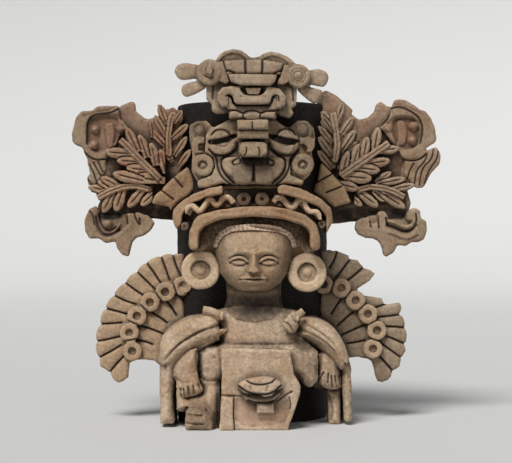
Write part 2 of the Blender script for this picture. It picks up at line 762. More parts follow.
def clay_finish(name, clay_colour, bloom, soot_amount, pigment_amount, pigment=(0.36, 0.13, 0.08),
                soot=(0.024, 0.018, 0.014), relief=0.5):
    """One finish of fired clay, made of the shared effects."""
    material = bpy.data.materials.new(f"{name}_clay")
    material.use_nodes = True
    tree = material.node_tree
    tree.nodes.clear()
    make = maker(tree)
    colour = make("ShaderNodeGroup", node_tree=fired_colour)
    for label, value in (("Clay", (*clay_colour, 1)), ("Bloom", (*bloom, 1)), ("Pigment", (*pigment, 1)),
                         ("Soot", (*soot, 1)), ("Bloom Amount", BLOOM_AMOUNT), ("Soot Amount", soot_amount),
                         ("Pigment Amount", pigment_amount)):
        colour.inputs[label].default_value = value
    grain = make("ShaderNodeGroup", node_tree=clay_grain)
    grain.inputs["Grit"].default_value = GRIT
    grain.inputs["Drag"].default_value = DRAG
    bump = make("ShaderNodeBump", {"Height": grain.outputs["Height"], "Strength": relief, "Distance": 0.002})
    shader = make("ShaderNodeBsdfPrincipled", {
        "Base Color": colour.outputs["Colour"], "Roughness": colour.outputs["Roughness"],
        "Normal": bump.outputs["Normal"]})
    shader.inputs["Specular IOR Level"].default_value = 0.25
    make("ShaderNodeOutputMaterial", {"Surface": shader.outputs[0]})
    return material


# Each finish: its clay, its pale bloom, and how much soot and pigment lie on it
finishes = {name: clay_finish(name, *values[:4], **dict(values[4:])) for name, *values in (
    ("vessel", (0.085, 0.0649, 0.0442), (0.17, 0.129, 0.085), 0.6, 0.02, ("pigment", (0.9, 0.66, 0.46)),
     ("soot", (0.012, 0.01, 0.008))),
    ("figure", (0.42, 0.28, 0.17), (0.61, 0.475, 0.34), 0.3, 0.1),
    ("face", (0.4, 0.265, 0.155), (0.5, 0.385, 0.265), 0.15, 0.08, ("relief", 0.25)),
    ("chest", (0.49, 0.34, 0.22), (0.69, 0.56, 0.42), 0.2, 0.1),
    ("apron", (0.44, 0.3, 0.19), (0.63, 0.5, 0.37), 0.1, 0.2, ("pigment", (0.42, 0.17, 0.10))),
    ("spool", *CREAM, 0.05, 0.15),
    ("wave", *CREAM, 0.1, 0.2),
    ("headdress", (0.33, 0.2, 0.11), (0.44, 0.305, 0.19), 0.3, 0.25),
    ("band", (0.15, 0.1, 0.064), (0.27, 0.19, 0.12), 0.5, 0.25),
    ("mask", (0.3, 0.205, 0.125), (0.47, 0.36, 0.25), 0.35, 0.1),
    ("tooth", (0.19, 0.13, 0.083), (0.3, 0.225, 0.155), 0.3, 0.1),
    ("fringe", (0.62, 0.45, 0.32), (0.74, 0.59, 0.45), 0.05, 0.1),
    ("crest", (0.3, 0.21, 0.135), (0.46, 0.36, 0.255), 0.3, 0.12),
    ("petal", (0.33, 0.235, 0.155), (0.48, 0.37, 0.265), 0.3, 0.08),
    ("wing", (0.27, 0.172, 0.111), (0.42, 0.296, 0.204), 0.2, 0.5, ("pigment", RED)),
    ("leaf", (0.34, 0.212, 0.128), (0.48, 0.33, 0.21), 0.2, 0.75, ("pigment", RED)),
    ("jaw", (0.27, 0.18, 0.11), (0.42, 0.32, 0.215), 0.2, 0.35, ("pigment", RED)),
    ("bow", (0.34, 0.21, 0.115), (0.48, 0.334, 0.196), 0.2, 0.3),
    ("fan", (0.42, 0.286, 0.178), (0.55, 0.401, 0.264), 0.2, 0.12),
    ("shaded_fan", (0.27, 0.195, 0.125), (0.42, 0.325, 0.23), 0.25, 0.1),
    ("shaded_leaf", (0.29, 0.2, 0.13), (0.45, 0.335, 0.225), 0.2, 0.55, ("pigment", RED)),
    ("disc", (0.42, 0.286, 0.178), (0.54, 0.392, 0.264), 0.2, 0.1))}


# The cylinder, turned from its profile

def make_vessel():
    """An open cylinder with an even wall and floor; its profile runs up the outside and down the inside."""
    low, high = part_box("vessel")
    radius = (high.x - low.x) / 2
    top = high.z
    wall, floor, lip, foot = 13 * MM, 14 * MM, 3 * MM, 5 * MM
    inner = radius - wall
    rows = 110
    profile = [(0, 0), (radius * 0.5, 0), (radius - foot, 0), (radius - 1.2 * MM, 1.2 * MM), (radius, foot)]
    profile += [(radius, foot + (top - 2 * foot) * (row + 1) / rows) for row in range(rows)]
    profile += [(radius - 1 * MM, top - 1 * MM), (radius - lip, top), (inner, top), (inner - lip, top - lip),
                (inner - lip, top - 9 * MM), (inner, top - 16 * MM)]
    profile += [(inner, top - 16 * MM - (top - 40 * MM) * (row + 1) / 30) for row in range(30)]
    profile += [(inner - 4 * MM, floor + 1.5 * MM), (inner - 9 * MM, floor), (inner * 0.5, floor), (0, floor)]
    mesh = spun("vessel_wall", profile, 168, 0.00002)
    places = places_of(mesh)
    round_now = np.hypot(places[:, 0], places[:, 1])
    turn = np.arctan2(places[:, 1], places[:, 0])
    coil = 0.5 * np.sin(places[:, 2] / (26 * MM) * 2 * math.pi + 1.3 * np.sin(2 * turn))
    swell = unevenness(places, 11, 0.11, 0.7) + coil * 0.5 - 1.3
    side = (places[:, 2] > 4 * MM) & (round_now > inner - 6 * MM)
    factor = 1 + np.where(side, swell * MM / np.maximum(round_now, 0.01), 0)
    places[:, :2] *= factor[:, None]
    mesh.vertices.foreach_set("co", places.ravel())
    piece = placed("vessel_wall", mesh)
    mark_hollows(mesh)
    front = np.clip(1 - places[:, 1] / (60 * MM), 0, 1)
    under_brim = area(xy(196,226, 250,214, 314,226, 314,262, 196,262), 6.0)(to_pixels(places))
    write_layer(mesh, "soot", 1.6 * front * (1 - under_brim))
    write_layer(mesh, "red", under_brim * (places[:, 1] < 0))
    finish_piece(piece, "vessel_clay", "vessel", "vessel")


make_vessel()


# Figure: marks are drawn in pixels of the picture

NECK_SHADE = area(xy(214,290, 294,290, 288,309, 272,317, 253,322, 236,317, 220,309), 12.0, 1.0)
clay("torso", "figure", "chest", voxel=2.1, edge=8, fall=4, big=(34, 22), melt=26, rough=0.6,
    plates=[(xy(298,334, 305,336, 307,343, 298,341), 176, 204),
    (xy(198,349, 222,346, 222,388, 207,388, 199,378), 150, 216)],
    dark=[NECK_SHADE, area(xy(292,335, 322,342, 326,352, 300,352, 292,345), 5.0, 0.8),
    area(xy(196,348, 222,348, 222,390, 196,390), 3.0, 0.15),
    area(xy(292,350, 330,350, 330,392, 292,392), 4.0, 0.25), stroke(xy(219,349, 220.5,366, 220,386), 1.8, 0.8)],
    marks=[cut(xy(203,380, 208,385, 214,384.4, 221,382), 1.1, 3.0),
    sink(xy(207,356, 219,353, 220,384, 208,384), 5.0, 5.0),
    cut(xy(216,352, 217.5,364, 214.5,376, 217,386), 1.5, 2.2), cut(xy(204,352, 207,366, 208,382), 2.2, 2.2),
    cut(xy(303,350, 305,366, 303,382), 2.0, 1.6), cut(xy(308.5,352, 311,368, 309,384), 1.6, 1.8),
    cut(xy(315,354, 317,370, 315,386), 1.6, 2.0)])
clay("left_arm", "figure", voxel=1.3, edge=8, fall=4, big=(20, 16), melt=10,
    marks=[*cuts([xy(183.4,389, 184.4,397), xy(188,387, 189,395.5), xy(193,386, 194,394), xy(198,384.5,
    200.5,391)], 0.85, 4.5), cut(xy(178,398, 186,399, 196,397, 204,391), 1.1, 4.0),
    cut(xy(196,352, 197,366, 200,378), 1.3, 3.5), cut(xy(174,379, 182,383, 190,382), 1.6, 1.6)])
clay("right_arm", "figure", voxel=1.3, edge=8, fall=4, big=(20, 16), melt=10,
    marks=[*cuts([xy(319.5,380, 324,372.5), xy(328,383, 328.4,374), xy(332.5,387, 331.5,376), xy(337,387,
    335,376.5), xy(341,386, 339.5,377)], 0.85, 4.5), cut(xy(316,385, 324,390, 334,392, 343,388), 1.1, 4.0),
    cut(xy(322,356, 320,366, 319,376), 1.3, 2.5)])
clay("left_leg", "figure", voxel=1.6, edge=8, fall=4, big=(26, 20), melt=8,
    plates=[(xy(204,388, 221,386, 219.6,430.4, 204,430.4), 190, 231),
    (xy(174,409, 187,409, 187,431, 174,431), 85, 104)],
    dark=[area(xy(184,400, 212,398, 214,430, 184,430), 6.0, 0.5),
    area(xy(172,411, 184,411, 183,431, 172,431), 2.0, 1.0),
    stroke(xy(199,382, 208,384.6, 214,383.6, 221,382), 2.2, 0.5)],
    marks=[sink(xy(196,374, 224,374, 224,388, 196,388), 12.0, 9.0),
    *cuts([xy(186,408.4, 199,408.8), xy(186,415.8, 202,416.4), xy(186,424.3, 203.5,424.6)], 0.95, 6.0),
    cut(xy(176,411.5, 181,410, 185,412), 1.2, 3.0), cut(xy(204,388, 205.5,404, 209,426), 1.6, 2.0),
    cut(xy(216.8,385, 217.6,428), 0.8, 3.0)])
clay("right_leg", "figure", voxel=1.6, edge=8, fall=4, big=(18, 12), melt=8,
    marks=[cut(xy(329,396, 333,410, 331,420), 1.2, 3.0)])
clay("left_cape", "figure", voxel=1.8, edge=8, fall=4, big=(24, 18), melt=30,
    plates=[(xy(222,327, 208,334, 192,343, 177,355, 168,367, 171,371, 179,367, 192,357, 208,347, 222,338), 192,
    221), (xy(168,358, 200,350, 215,350, 215,384, 200,398, 188,412, 180,412.5, 175,407, 172,398), 150, 172),
    (xy(159,344, 166,336, 174,344, 178,360, 175,382, 172.6,400, 174,425, 159.4,425), 150, 217)],
    dark=[area(xy(190,352, 206,346, 214,352, 206,364, 194,366), 5.0, 0.8),
    area(xy(173,392, 186,396, 190,410, 178,412), 4.0, 0.6)],
    marks=[cut(xy(165.5,366, 165,385, 167,424), 1.6, 1.6), cut(xy(176,372, 178,388, 182,406), 2.0, 2.0),
    cut(xy(217,326.5, 205,329.5, 194,334.6, 177,345.3, 164.7,360), 1.2, 4.5),
    cut(xy(166,347, 176,336, 190,328.5), 2.5, 1.4)])
clay("right_cape", "figure", voxel=1.8, edge=8, fall=4, big=(24, 18), melt=30,
    plates=[(xy(297,331, 311,335, 325,342, 338,354, 345,366, 341,371, 331,360, 318,349, 305,342, 296,338), 176,
    201), (xy(298,344, 330,352, 350,372, 350,382, 343,398, 330,393, 316,389, 302,382, 298,362), 112, 136),
    (xy(335,380, 350,376, 351,421, 343,424.5, 337,422, 334,408), 95, 132),
    (xy(338,346, 347,350, 351.6,368, 352.6,421, 345,424.6, 343.4,400, 342,376), 112, 184)],
    dark=[area(xy(296,340, 320,346, 328,356, 304,358, 296,350), 5.0, 0.9),
    area(xy(333,392, 343,392, 345,420, 338,420), 5.0, 0.5)],
    marks=[cut(xy(299,322, 312,327, 326,336, 338,349, 344,361), 1.4, 3.6),
    cut(xy(299,329, 312,334, 325,342, 335,352), 1.2, 2.6), cut(xy(317,320, 330,327, 341,341, 346,357), 1.5, 2.4),
    cut(xy(347,368, 348.5,390, 347,420), 1.5, 1.6), cut(xy(323,318.5, 330,323, 331.5,329), 1.0, 2.0)])
clay("left_knot", "figure", voxel=1.0, edge=6, fall=5)
clay_lump("neck_root", "figure", "chest", voxel=1.9, soften=70, dark=[NECK_SHADE],
    plates=[(xy(206,313, 216,310, 292,310, 302,313, 292,323, 254,328, 214,323), 110, 180),
    (xy(223,308, 285,308, 289,320, 254,326, 219,320), 110, 193),
    (xy(232,306, 277,306, 281,319, 254,325, 227,319), 110, 202),
    (xy(240,305, 269,305, 274,319, 254,324, 234,319), 110, 210)])
clay_lump("left_knot_end", "figure", soften=12,
    coils=[(xy(203,309.6, 209,310.4, 215,312.4, 221,315.6), 7.4, 211), (xy(214,312, 221,315.6), 6.0, 214)])
clay_lump("left_cape_fold", "figure", soften=12, lean=(212, 230, -9),
    plates=[(xy(196,348, 205,338.4, 214,332.4, 222,329.2, 229.6,328, 225,332.6, 217,338, 206,346), 184, 214),
    (xy(199,344, 207,337.6, 216,333, 222,331, 215,337, 206,342.4), 190, 220)])
clay_lump("right_knot_horn", "figure", soften=6,
    coils=[(xy(292,321, 297,315.6, 303.5,310.6), 7.0, 212), (xy(288,316, 294,318.6, 299,319), 5.0, 218)])
clay_lump("right_knot_loop", "figure", soften=6,
    coils=[(xy(287,320, 292.5,319.6, 296,323.6, 294.6,329, 290,331, 286.4,327, 287,321), 5.6, 213),
    (xy(289,323, 292.4,326), 7.0, 212), (xy(283.6,322, 287.4,325), 4.6, 214)])
clay("right_knot", "figure", voxel=1.0, edge=6, fall=5,
    marks=[cut(xy(284,322, 289,324, 293,331), 0.9, 3.0), cut(xy(292,316, 294,321, 297,323), 0.9, 3.0)])
for side, recess in (("left", (200.7, 270.4)), ("right", (307.3, 272.9))):
    clay(f"{side}_ear_spool", "spool", voxel=1.1, edge=5, fall=2.5,
        marks=[ring(recess, 9.6, 0.8, 3.0), ring(recess, 5.2, 0.6, 0.5)])

clay("apron", "apron", voxel=1.5, edge=6, fall=3, rough=0.6,
    red=[area(xy(236,399, 262,404, 276,406, 288,400, 289,409, 283,425, 236,428), 3.0, 0.42)],
    marks=[cut(xy(221,395.3, 232,395.6, 243,396.4), 0.7, 3.0), cut(xy(276,402.5, 283,396.5, 292,391.8), 0.8, 3.5),
    cut(xy(234,396, 233.6,412, 234.4,430), 0.7, 2.8), cut(xy(289,397, 290.5,403, 290,409), 0.7, 2.4),
    sink(xy(235,397, 244,397.5, 262,402, 276,404, 289,397, 291,409, 284,426, 235,429), 1.8, 1.0),
    cut(xy(219.8,348, 220.4,370, 220,395), 0.9, 2.2)])
clay("apron_mask", "apron", voxel=1.0, edge=7, fall=5,
    dark=[stroke(xy(238,389.5, 246,395.5, 262,398.5, 274,396.5, 282,388.5), 2.6, 1.0),
    stroke(xy(247,401, 256,404.5, 273,403.5, 279,398.5), 1.8, 0.9)],
    marks=[*cuts([xy(250,387, 252,391.5), xy(268,386, 266.5,391)], 1.4, 2.2),
    cut(xy(247,381, 251.8,384, 261,385.4, 272,382.8, 275,379), 1.0, 3.0),
    cut(xy(238,386, 246,392, 254,394, 264,395, 273,393, 281,386), 1.3, 5.0),
    cut(xy(248,400, 256,403, 273,402, 279,397), 1.0, 4.0), cut(xy(256,410.4, 272.5,410), 0.6, 1.5)])


# Face of the potter's own, plain type: a quiet oval with even thirds. It is laid out in millimetres

FACE_MIDDLE, BROW, NOSE_FOOT, MOUTH, CHIN = 4.0, 325.0, 291.5, 278.0, 256.0
EYE_OUT, EYE_HEIGHT, EYE_HALF = 28.0, 313.0, 16.5
UPPER_LID = [(EYE_OUT - EYE_HALF, EYE_HEIGHT - 2.6), (EYE_OUT - 9, EYE_HEIGHT + 3.0),
             (EYE_OUT - 1, EYE_HEIGHT + 5.2), (EYE_OUT + 8, EYE_HEIGHT + 3.4),
             (EYE_OUT + EYE_HALF, EYE_HEIGHT - 1.4)]
LOWER_LID = [(EYE_OUT - EYE_HALF + 1, EYE_HEIGHT - 3.2), (EYE_OUT - 7, EYE_HEIGHT - 5.8),
             (EYE_OUT + 2, EYE_HEIGHT - 6.4), (EYE_OUT + EYE_HALF - 1, EYE_HEIGHT - 2.4)]
FACE_REACH = 245.0


def raised_line(line, up):
    return [(across, height + up) for across, height in line]


def on_picture(line):
    """The pixels of a line that is laid out on the face, for the right half and for the left."""
    halves = []
    for turn in (1, -1):
        dots = np.array([(turn * a + FACE_MIDDLE, -FACE_REACH, b) for a, b in line]) * MM
        halves.append([tuple(dot) for dot in to_pixels(dots)])
    return halves


def make_face(places, skin):
    """Moves the front of the head into the face; both halves are alike."""
    x = places[:, 0] / MM - FACE_MIDDLE
    z = places[:, 2] / MM
    own = np.stack([np.abs(x), z], axis=1)

    def oval(across, up, wide, high):
        return np.sqrt(((own[:, 0] - across) / wide) ** 2 + ((z - up) / high) ** 2)

    def line(dots, width):
        return line_distance(own, dots) / width

    def swell(height, away):
        return height * np.exp(-away ** 2)

    def ball(height, away):
        return height * np.sqrt(np.clip(1 - away ** 2, 0, 1))

    # soft forms: socket, brow, cheek, muzzle, chin, hollow under the lip, and fold beside the mouth
    rise = (swell(-8.0, oval(EYE_OUT - 1, EYE_HEIGHT, 18, 11))
            + swell(3.4, line([(5, BROW + 1), (18, BROW + 4), (32, BROW + 3), (44, BROW - 4)], 4.5))
            + swell(3.4, oval(39, 297, 17, 15)) + swell(4.2, oval(0, 278, 26, 13))
            + swell(3.6, oval(0, CHIN + 6, 15, 7)) + swell(-1.6, oval(0, 267.5, 16, 3.5))
            + swell(-1.8, line([(12, 293), (22, 284), (27, 276)], 3.6)))
    # nose: bridge, wings and holes
    bridge = np.clip((BROW + 3 - z) / (BROW + 3 - NOSE_FOOT), 0, 1)
    slope = 1 / (1 + np.exp(-(z - NOSE_FOOT + 0.5) / 0.9))
    rise += swell(3.0 + 7.0 * bridge, own[:, 0] / (4.4 + 3.4 * bridge)) * slope * (z < BROW + 8)
    rise += ball(5.0, oval(8.2, NOSE_FOOT + 4, 5.2, 4.6)) + swell(-5.0, oval(5.0, NOSE_FOOT - 0.2, 2.6, 1.7))
    # eye: a ball under two lids, with a line below and a fold above the upper one
    rise += ball(6.2, oval(EYE_OUT, EYE_HEIGHT, EYE_HALF + 1, 9.0))
    rise += swell(3.0, line(UPPER_LID, 2.1)) + swell(2.4, line(LOWER_LID, 1.9))
    rise += swell(-3.6, line(raised_line(UPPER_LID, -3.4), 1.4)) + swell(-1.8, line(raised_line(UPPER_LID, 4.2), 1.6))
    # closed lips, the line between them and the groove above
    rise += swell(4.6, line([(0, MOUTH + 3.2), (5, MOUTH + 4.0), (13, MOUTH + 2.8), (21, MOUTH + 0.8)], 3.3))
    rise += swell(5.4, line([(0, MOUTH - 5.2), (9, MOUTH - 4.8), (17, MOUTH - 2.6)], 3.8))
    rise += swell(-4.8, line([(0, MOUTH - 0.6), (8, MOUTH), (16, MOUTH - 0.2), (25, MOUTH - 0.6)], 1.5))
    rise += swell(-1.4, line([(0, MOUTH + 6.5), (0, NOSE_FOOT - 3)], 1.7))
    on_face = 1 / (1 + np.exp(-(z - CHIN + 3) / 1.5))
    places = places.copy()
    places[:, 1] -= rise * MM * skin * on_face
    return places


face_lines = [stroke(half, width, strength) for line, width, strength in (
    (raised_line(UPPER_LID, -3.2), 0.8, 0.62),
    ([(EYE_OUT - 9, EYE_HEIGHT - 1), (EYE_OUT + 9, EYE_HEIGHT - 1)], 1.6, 0.16),
    ([(0, MOUTH - 0.6), (12, MOUTH - 0.2), (24, MOUTH - 0.6)], 0.7, 0.5),
    ([(4.0, NOSE_FOOT - 1.2), (7.5, NOSE_FOOT - 0.8)], 0.9, 0.6)) for half in on_picture(line)]
clay("head", "face", voxel=1.1, edge=3, fall=0.5, big=(30, 12), melt=24, shape=make_face, rough=0.25,
    dark=[*face_lines,
    area(xy(214,287, 228,290, 240,293.5, 267,293.5, 279,290, 294,287, 294,330, 214,330), 7.0, 0.97)])

clay_lump("left_ear_tab", "face",
    plates=[(xy(203.4,250, 208,246, 214,246.5, 218.5,249, 217.5,258, 206,258.5), 164, 186)])
clay_lump("right_ear_tab", "face",
    plates=[(xy(290,249, 294,247, 301,247.6, 304.6,251, 303,259.5, 290.6,258.5), 164, 186)])

# Fringe of hair, notched all along its band
FRINGE_LINE = xy(214.5,247, 216,240, 221,233.5, 229,229.3, 240,227, 252,226.2, 264,226.6, 276,228.6, 285,232.5,
    291,238.5, 294,247)

clay("hair_fringe", "face", "fringe", voxel=0.75, edge=4, fall=2, soften=1, melt=14, clean=True,
    marks=notches(FRINGE_LINE))


# Headdress

clay("brim", "headdress", voxel=1.8, edge=5, fall=3, flow=110)

clay("crown_band", "headdress", "band", voxel=1.6, edge=3, fall=1.5,
    plates=[(round_outline((184.6, 226.4), 4.5), 150, 207), (round_outline((322, 224.5), 4.0), 150, 206.5)],
    marks=[dome((228.4, 206.2), 3.2, 5.0), dome((279.6, 206.2), 3.2, 5.0), pit((184.6, 226.4), 1.2, 3.0),
    pit((322, 224.5), 1.2, 3.0)], dark=[area(xy(224,184, 278,184, 275,204, 228,204), 4.0)])
for side in ("left", "right"):
    clay(f"{side}_upper_rim", "headdress", voxel=1.7, edge=5, fall=2.5, flow=40)
    clay(f"{side}_band_disc", "headdress", "band", voxel=0.9, edge=3, fall=1.5, clean=True)

WAVE_LINES = {"left": xy(184.6,212.5, 187,207.5, 191.9,203.6, 195.6,207.4, 198.8,211, 202.6,208.5, 206,201.3,
    209.4,197.8, 212.8,200.6, 215.6,205, 219.4,203.5, 222.2,197.6, 226,195.6, 230.2,198, 233.6,202.6),
    "right": xy(273.2,201.4, 276.4,196.2, 280.4,195.2, 284,199.4, 287.6,205, 291.4,207.8, 295.2,205.4, 297.2,200,
    300.8,197.4, 304.2,200.4, 305.6,205.9, 308.6,210.6, 312.6,211.6, 317,211, 319.8,215.6, 321.2,219.4)}
for side, line in WAVE_LINES.items():
    clay(f"{side}_wave", "headdress", "wave", voxel=0.8, edge=2, fall=0.4, soften=4,
        coils=[([(x, y + 0.7) for x, y in line], 5.3, 208.5)], clean=True)
clay_lump("band_seam", "headdress", dark=[area(xy(219,180, 284,180, 284,196, 219,196), 2.0, 0.35)],
    plates=[(xy(219,188.4, 224,185.6, 278,185.6, 284,188.4, 280,193, 222,193), 150, 197)])


# Middle mask

LEFT_SLIT = xy(207.4,140.6, 209.6,144.8, 217.6,144, 228.4,141.4, 237.4,137, 236.4,133.6, 228.4,136.2, 215.4,139.4)
RIGHT_SLIT = xy(268.6,133.6, 268.2,137, 276,141.6, 286,145.2, 293.6,144.8, 299.4,141.6, 297.6,139.4, 291,138.8,
    280,136.2)
clay("mask_face", "mask", voxel=1.35, edge=6, fall=3.5, flow=14, clean=True,
    dark=[area(LEFT_SLIT, 1.0, 1.6), area(RIGHT_SLIT, 1.0, 1.6),
    area(xy(238,156, 270,156, 268,166, 240,166), 1.6), stroke(xy(238,146, 237.4,152, 239,158), 1.5, 0.8),
    stroke(xy(268,146, 268.6,152, 267,158), 1.5, 0.8),
    area(xy(186,118, 206,118, 208,130, 199,136, 190,150), 3.0, 0.5),
    area(xy(300,118, 318,118, 316,150, 306,136, 298,130), 3.0, 0.5)],
    marks=[*cuts([xy(237.6,143, 237.1,148.5, 231,153.8, 221,158.8, 221.3,168, 227.3,176.7, 234,183), xy(268.6,143,
    270,149, 277,154.5, 285,159, 285.5,168, 279.5,176.7, 272.6,183)], 1.15, 5.5), *cuts([xy(209,149.6,
    213.3,153.9, 216.5,158, 217.5,168, 222,177.7, 230.6,184.3), xy(298.4,149.6, 294.2,154, 290,158, 289.4,168,
    284.6,177.7, 276.4,184.3)], 1.05, 4.6), *cuts([xy(212.8,154, 220,155.6, 229,154.6, 235,149), xy(293.6,154,
    286,155.8, 277,153.6, 270.8,148)], 1.0, 4.0),
    cut(xy(212,135, 214.6,130.8, 221,129.4, 227.4,131, 230,135), 0.8, 3.2),
    cut(xy(277.4,134.4, 279.6,130, 286,128.4, 292.4,130.6, 295,135), 0.8, 3.2),
    cut(xy(204.8,134, 208,127.6, 216,124, 227,119.8), 1.0, 2.0), *cuts([xy(238.6,158, 232,161.4, 233.8,165.8,
    239.6,165), xy(267.6,158, 274.4,161.4, 272.6,165.8, 267,165)], 1.0, 5.0), sink(LEFT_SLIT, 8.0, 1.0),
    sink(RIGHT_SLIT, 8.0, 1.0)])
clay("mask_snout", "mask", voxel=1.0, edge=6, fall=4,
    marks=[cut(xy(238,130.4, 252,129.8, 267,130.4), 0.8, 3.0), cut(xy(252.3,122, 252.5,129), 0.8, 3.0),
    cut(xy(238.5,141, 253,140.3, 268,141), 1.2, 5.0), cut(xy(241,144.4, 253,143.6, 265,144.4), 0.6, 1.4),
    *cuts([xy(246.4,148, 246.8,152, 244.6,155.5), xy(258.4,147.6, 259.8,151, 259.4,155.5)], 0.7, 3.0)])
clay("mask_teeth", "mask", "tooth", voxel=1.0, edge=7, fall=5, clean=True,
    marks=[sink(xy(234,156, 272,156, 271,172, 236,172), 4.0, 6.0), cut(xy(253.6,163, 253.8,188), 1.4, 10.0)],
    dark=[area(xy(238,154, 270,154, 270,166.5, 239,166.5), 4.5), stroke(xy(253.6,163, 253.8,188), 1.6)])
for side, lid, hollow, ball in (("left", xy(210,137, 214,131.8, 221,129.8, 227,131.8, 231,136.5), LEFT_SLIT,
        dome((223.4, 143.6), 3.6, 2.4)),
        ("right", xy(277,137, 279.5,131, 287,129, 293,132, 296,138), RIGHT_SLIT, dome((284.4, 146), 3.6, 1.0))):
    clay(f"{side}_eye_plate", "mask", voxel=0.9, edge=5, fall=3, soften=2, clean=True,
        marks=[cut(lid, 0.8, 3.0), sink(hollow, 10.0, 0.8), ball], dark=[area(hollow, 0.8, 1.6)])
    clay(f"{side}_mask_ear_disc", "mask", voxel=1.0, edge=4, fall=2)
clay("left_mask_ear", "mask", voxel=0.9, edge=5, fall=3,
    dark=[area(xy(188,120, 206,120, 204,138, 190,138), 3.0, 0.5)],
    marks=[cut(xy(203.5,144, 198.8,144.6, 199.2,150), 0.8, 4.0), ring((199.8, 130.2), 5.4, 0.8, 2.5)])
clay("right_mask_ear", "mask", voxel=0.9, edge=5, fall=3,
    dark=[area(xy(297,120, 316,120, 315,138, 299,138), 3.0, 0.5)],
    marks=[cut(xy(300,145, 304.6,144.6, 304.4,150), 0.8, 4.0), ring((302.7, 130.2), 6.2, 0.8, 2.5)])


# Crest

clay("crest_plate", "crest", voxel=1.4, edge=5, fall=2.6, flow=9,
    marks=[sink(xy(219,62.5, 222,57.4, 227,54, 233,52.8, 240,54.4, 246,59.4, 246,63, 219,63), 3.2, 0.9),
    sink(xy(262,61, 266,57.4, 273,55.6, 281,57.6, 287.4,62, 290,66, 262,66), 3.2, 0.9),
    cut(xy(212.6,99, 213.4,82, 215.6,79.6, 226.5,79.4), 0.9, 2.6),
    cut(xy(293.4,101, 292.6,88, 290,85.6, 282,85), 0.9, 2.6), cut(xy(223.5,60.6, 227,72, 231,86), 0.8, 3.5),
    cut(xy(283.7,63.3, 280,73, 275.6,85), 0.8, 3.5), cut(xy(217,66, 226,71.5, 230,72), 0.8, 2.5),
    cut(xy(277,72.5, 283,70), 0.8, 2.5), cut(xy(212.5,79.5, 220,80.5, 227,79.6), 0.9, 2.5),
    cut(xy(280,84, 288,83, 295,85), 0.9, 2.5)])
clay("crest_forehead", "crest", voxel=1.0, edge=7, fall=5, melt=10,
    marks=[cut(xy(245.6,57, 245.2,67, 245.8,74), 1.2, 4.5), cut(xy(262.2,57, 262.6,67, 262,74), 1.2, 4.5),
    sink(xy(243.6,56, 247.6,56, 246,61.5, 245,61.5), 6.0, 1.4),
    sink(xy(260.6,56, 264.6,56, 263,61.5, 262,61.5), 6.0, 1.4), cut(xy(227,70.6, 231,71.2, 234.6,73.6), 1.1, 5.0),
    cut(xy(281.6,70.6, 277.6,71.6, 273.6,74), 1.1, 5.0)])
clay("crest_nose", "crest", voxel=1.0, edge=6, fall=4, marks=[cut(xy(232,84.6, 253,86.4, 274,84.6), 0.6, 1.3)])
for name, outline, back, front in (("left_crest_brow", xy(218,62, 222.4,61, 225.4,70, 229,81.6, 225.6,83.6,
        219,80.4, 216,72), 214, 237),
        ("right_crest_brow", xy(284.6,65, 288.4,65, 291,73, 288.6,81.6, 283,84.6, 277,84.2, 281,74), 214, 237),
        ("left_crest_horn", xy(227.2,109, 226.9,99, 228.6,96.4, 230.8,97.6, 232.2,102.8, 235,106.4, 236,109.6),
        222, 241), ("right_crest_horn", xy(268.6,109.6, 270,106, 272.4,102.6, 273.6,98, 275.6,96.6, 277.4,98.4,
        277.4,109), 222, 241)):
    clay_lump(name, "crest", soften=14, plates=[(outline, back, front)])
clay_lump("crest_tooth", "crest", "spool",
    plates=[(xy(245.6,87.8, 260.6,87.8, 259.4,93, 257,94.2, 249,94.2, 246.8,93), 228, 242)])
clay("crest_lip", "crest", voxel=1.0, edge=6, fall=3.5, flow=8,
    dark=[area(xy(239,85.6, 267,85.6, 265,92, 260,95.6, 246,95.6, 241,92), 1.2)],
    marks=[sink(xy(239,85, 267.4,85, 265,92, 260.4,95.8, 246,95.8, 241.6,92), 9.0, 0.8), cut(xy(226.2,96,
    229.5,94.2, 232.2,97.5, 233.3,102.4, 237,105.4, 267.4,105.4, 271.2,102.4, 272.3,96.8, 275,94.8, 278.8,96.4,
    278.8,100.7), 0.8, 3.5), cut(xy(240,96.5, 253,97.4, 266,96.5), 0.6, 1.2)])
clay("crest_jaw", "crest", voxel=0.9, edge=5, fall=3, soften=2,
    marks=[cut(xy(229,111.6, 232.7,110, 237,110.5, 242.5,113.8, 246.8,111, 251.7,110.3, 256.6,111, 261,113.8,
    265.3,111, 274,111), 0.7, 3.5), cut(xy(243,114, 243.4,119), 0.8, 4.0), cut(xy(260.4,114, 260,119), 0.8, 4.0)])
clay("left_crest_disc", "crest", voxel=0.9, edge=6, fall=3,
    plates=[(round_outline((209.6, 70.6), 6.4), 218, 240.6)], marks=[lift(xy(209.6,64.6, 212.4,67.4, 213.2,71,
    212,74.6, 209.6,76.8, 207,74.6, 206,71, 207,67.4), 6.0, 1.0)])
clay("right_crest_disc", "crest", voxel=0.9, edge=6, fall=3, plates=[(round_outline((298.4, 76), 6.4), 218, 241)],
    marks=[ring((298.2, 76.2), 4.9, 0.6, 1.8), ring((298.2, 76.2), 7.4, 0.6, 1.0)])
for side in ("left", "right"):
    clay(f"{side}_crest_petals", "crest", "petal", voxel=1.2, edge=8, fall=4, flow=70)


# Wings

